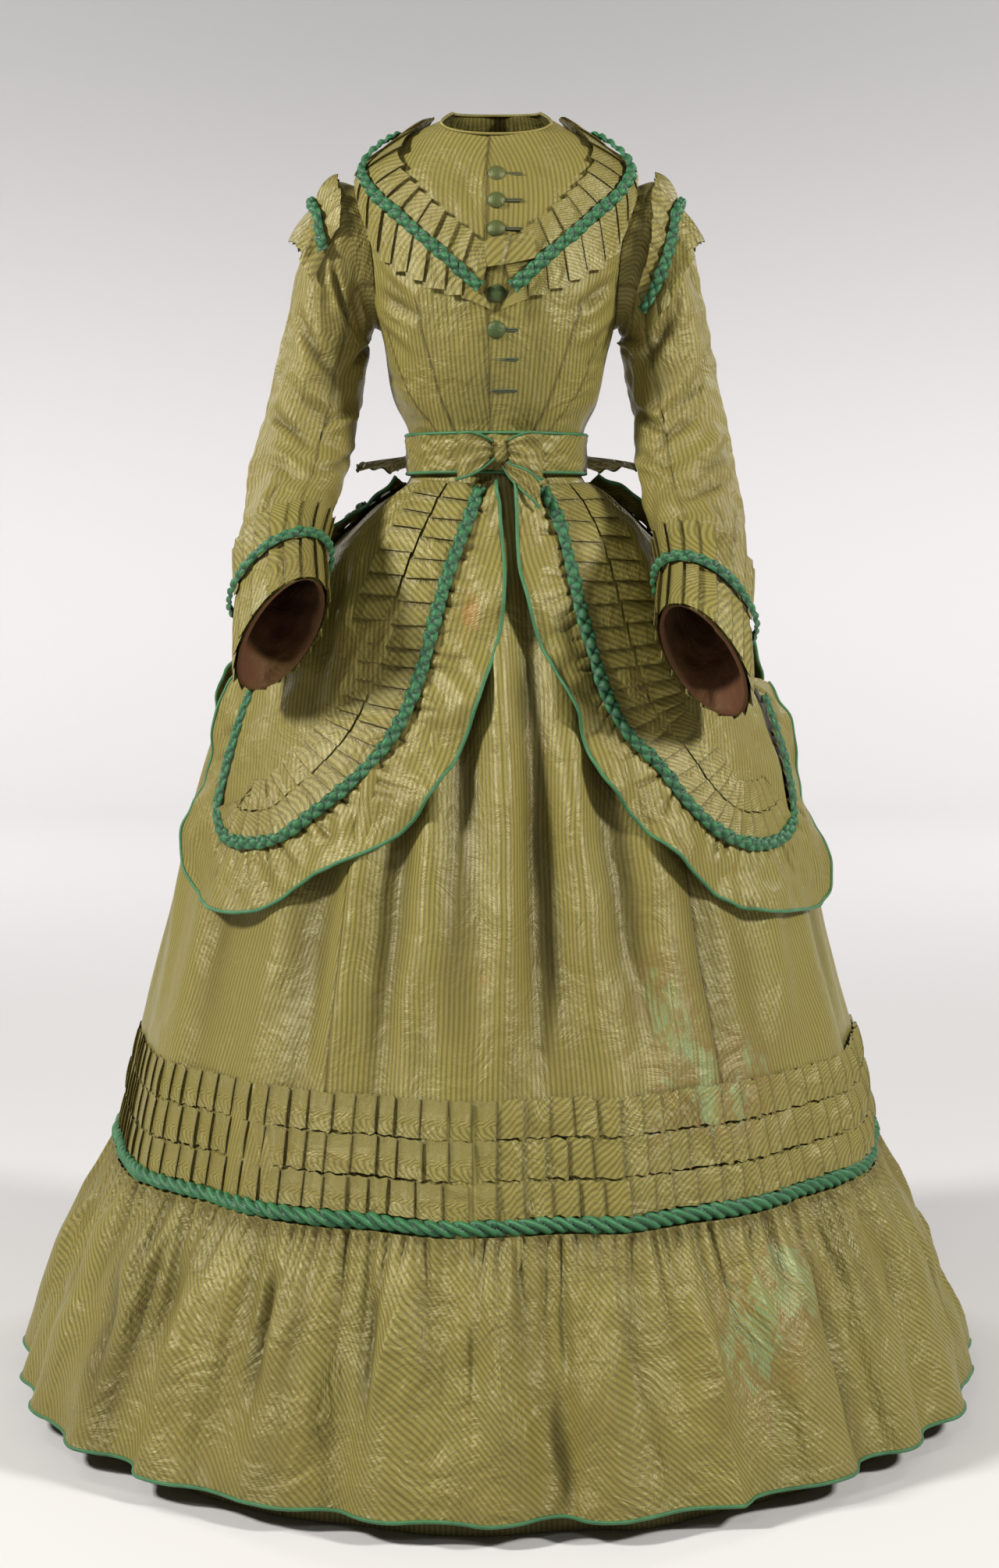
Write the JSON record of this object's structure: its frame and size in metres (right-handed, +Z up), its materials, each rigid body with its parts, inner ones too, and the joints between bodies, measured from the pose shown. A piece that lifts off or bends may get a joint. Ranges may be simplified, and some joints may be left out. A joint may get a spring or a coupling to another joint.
{
  "type": "day dress",
  "caption": "Antique bustle-style day dress of striped olive silk: fitted buttoned bodice, coat sleeves, draped overskirt and long gathered skirt with pleated and ruched trim.",
  "frame": {"origin": "where the wearer's shoulders hold the dress up, on the centre line between the shoulder tops, 1.400 m above the floor that the hem brushes", "axes": "+Z up along the wearer's body; the closing at the front faces -Y; +X is the wearer's left (the viewer's right)"},
  "size_m": [1.1588, 1.2063, 1.4747],
  "materials": {
    "striped_silk": "changeable olive-gold silk taffeta with fine darker stripes, crisp low sheen",
    "green_satin": "emerald to sea-green silk satin, ruched or piped",
    "button_silk": "moss-green silk over domed button moulds",
    "brown_lining": "matt brown-red cotton lining"
  },
  "bodies": {
    "root": {"belt": "striped_silk", "belt_piping_bottom": "green_satin", "belt_piping_top": "green_satin", "bodice_back": "striped_silk", "bodice_front_left": "striped_silk", "bodice_front_right": "striped_silk", "bow_end": "striped_silk", "bow_knot": "striped_silk", "bow_loop_left": "striped_silk", "bow_loop_right": "striped_silk", "button_1": "button_silk", "button_2": "button_silk", "button_3": "button_silk", "button_4": "button_silk", "button_5": "button_silk", "cap_pleats_left": "striped_silk", "cap_pleats_right": "striped_silk", "cap_ruche_left": "green_satin", "cap_ruche_right": "green_satin", "collar_pleats_inner_left": "striped_silk", "collar_pleats_inner_right": "striped_silk", "collar_pleats_outer_left": "striped_silk", "collar_pleats_outer_right": "striped_silk", "collar_ruche": "green_satin", "cuff_lining_left": "brown_lining", "cuff_lining_right": "brown_lining", "cuff_pleats_left": "striped_silk", "cuff_pleats_right": "striped_silk", "cuff_ruche_left": "green_satin", "cuff_ruche_right": "green_satin", "flounce": "striped_silk", "flounce_piping": "green_satin", "neck_binding": "striped_silk", "overskirt_back": "striped_silk", "overskirt_frill_back": "striped_silk", "overskirt_frill_front_left": "striped_silk", "overskirt_frill_front_right": "striped_silk", "overskirt_front_left": "striped_silk", "overskirt_front_right": "striped_silk", "overskirt_piping_back": "green_satin", "overskirt_piping_front_left": "green_satin", "overskirt_piping_front_right": "green_satin", "overskirt_pleats_front_left": "striped_silk", "overskirt_pleats_front_right": "striped_silk", "overskirt_ruche_back": "green_satin", "overskirt_ruche_front_left": "green_satin", "overskirt_ruche_front_right": "green_satin", "peplum": "striped_silk", "skirt_back": "striped_silk", "skirt_front": "striped_silk", "skirt_pleats_1": "striped_silk", "skirt_pleats_2": "striped_silk", "skirt_pleats_3": "striped_silk", "skirt_ruche": "green_satin", "skirt_side_left": "striped_silk", "skirt_side_right": "striped_silk", "sleeve_under_left": "striped_silk", "sleeve_under_right": "striped_silk", "sleeve_upper_left": "striped_silk", "sleeve_upper_right": "striped_silk"}
  },
  "joints": []
}
